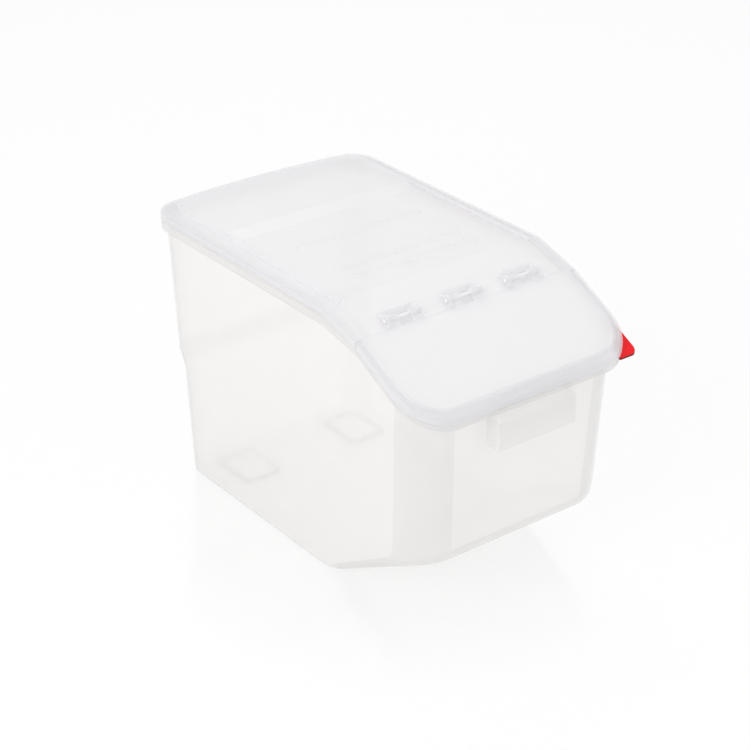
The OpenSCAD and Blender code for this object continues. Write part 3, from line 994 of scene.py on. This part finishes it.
def make_camera():
    """The photograph's camera: its angles, distance, aim and lens are fitted to the photograph."""
    data = bpy.data.cameras.new("studio_camera")
    data.sensor_width = 36.0
    data.lens = 94.18
    data.clip_end = 50.0
    camera = bpy.data.objects.new("studio_camera", data)
    bpy.context.scene.collection.objects.link(camera)
    azimuth, elevation, distance = math.radians(-37.45), math.radians(27.59), 2.7339
    level = math.cos(elevation)
    back = Vector((math.sin(azimuth) * level, -math.cos(azimuth) * level, math.sin(elevation)))
    target = Vector((-0.01211, 0.00928, 0.21221))
    camera.location = target + back * distance
    camera.rotation_euler = back.to_track_quat("Z", "Y").to_euler()
    bpy.context.scene.camera = camera


# Operators


class RICEBIN_OT_bin(bpy.types.Operator):
    """Build the bin with its rim, hand grip, ledge, sloping floor and floor pockets"""

    bl_idname = "ricebin.bin"
    bl_label = "Bin"

    def execute(self, context):
        bin_piece(MATERIALS)
        return {"FINISHED"}


class RICEBIN_OT_lid(bpy.types.Operator):
    """Build the fixed back lid with its plateau, ridges, ribs and hinge housings"""

    bl_idname = "ricebin.lid"
    bl_label = "Fixed lid"

    def execute(self, context):
        lid_piece(MATERIALS)
        return {"FINISHED"}


class RICEBIN_OT_flap(bpy.types.Operator):
    """Build the sloping front flap with its hinge barrels"""

    bl_idname = "ricebin.flap"
    bl_label = "Front flap"

    def execute(self, context):
        flap_piece(MATERIALS)
        return {"FINISHED"}


class RICEBIN_OT_clip(bpy.types.Operator):
    """Build the red colour clip under the flap's corner"""

    bl_idname = "ricebin.clip"
    bl_label = "Colour clip"

    def execute(self, context):
        clip_piece(MATERIALS)
        return {"FINISHED"}


class RICEBIN_OT_pins(bpy.types.Operator):
    """Give the three hinge pins their plastic"""

    bl_idname = "ricebin.pins"
    bl_label = "Hinge pins"

    def execute(self, context):
        for side in ("left", "middle", "right"):
            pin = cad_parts["hinge_pin_" + side]
            pin.data.materials.clear()
            pin.data.materials.append(MATERIALS["pin"])
        return {"FINISHED"}


class RICEBIN_OT_stage(bpy.types.Operator):
    """Set the pale glossy floor, the studio light, the white background and the camera"""

    bl_idname = "ricebin.stage"
    bl_label = "Stage"

    def execute(self, context):
        make_floor()
        make_light()
        make_camera()
        return {"FINISHED"}


class RICEBIN_PT_panel(bpy.types.Panel):
    bl_label = "Rice bin"
    bl_idname = "RICEBIN_PT_panel"
    bl_space_type = "VIEW_3D"
    bl_region_type = "UI"
    bl_category = "Rice bin"

    def draw(self, context):
        for group in (context.scene.rice_bin_body, context.scene.rice_bin_lid, context.scene.rice_bin_looks):
            box = self.layout.box()
            for key in group.__annotations__:
                box.prop(group, key)
        for operator in OPERATORS:
            self.layout.operator(operator.bl_idname)


GROUPS = (("rice_bin_body", RiceBinBody), ("rice_bin_lid", RiceBinLid), ("rice_bin_looks", RiceBinLooks))
OPERATORS = (RICEBIN_OT_bin, RICEBIN_OT_lid, RICEBIN_OT_flap, RICEBIN_OT_clip, RICEBIN_OT_pins,
             RICEBIN_OT_stage)
MATERIALS = {}


def register():
    for name, group in GROUPS:
        bpy.utils.register_class(group)
        setattr(bpy.types.Scene, name, bpy.props.PointerProperty(type=group))
    for operator in OPERATORS:
        bpy.utils.register_class(operator)
    bpy.utils.register_class(RICEBIN_PT_panel)


def unregister():
    bpy.utils.unregister_class(RICEBIN_PT_panel)
    for operator in reversed(OPERATORS):
        bpy.utils.unregister_class(operator)
    for name, group in reversed(GROUPS):
        delattr(bpy.types.Scene, name)
        bpy.utils.unregister_class(group)


def main():
    register()
    bpy.context.scene.view_settings.view_transform = "Standard"
    MATERIALS.update(make_materials())
    bpy.ops.ricebin.bin()
    bpy.ops.ricebin.lid()
    bpy.ops.ricebin.flap()
    bpy.ops.ricebin.clip()
    bpy.ops.ricebin.pins()
    bpy.ops.ricebin.stage()


if __name__ == "__main__":
    main()
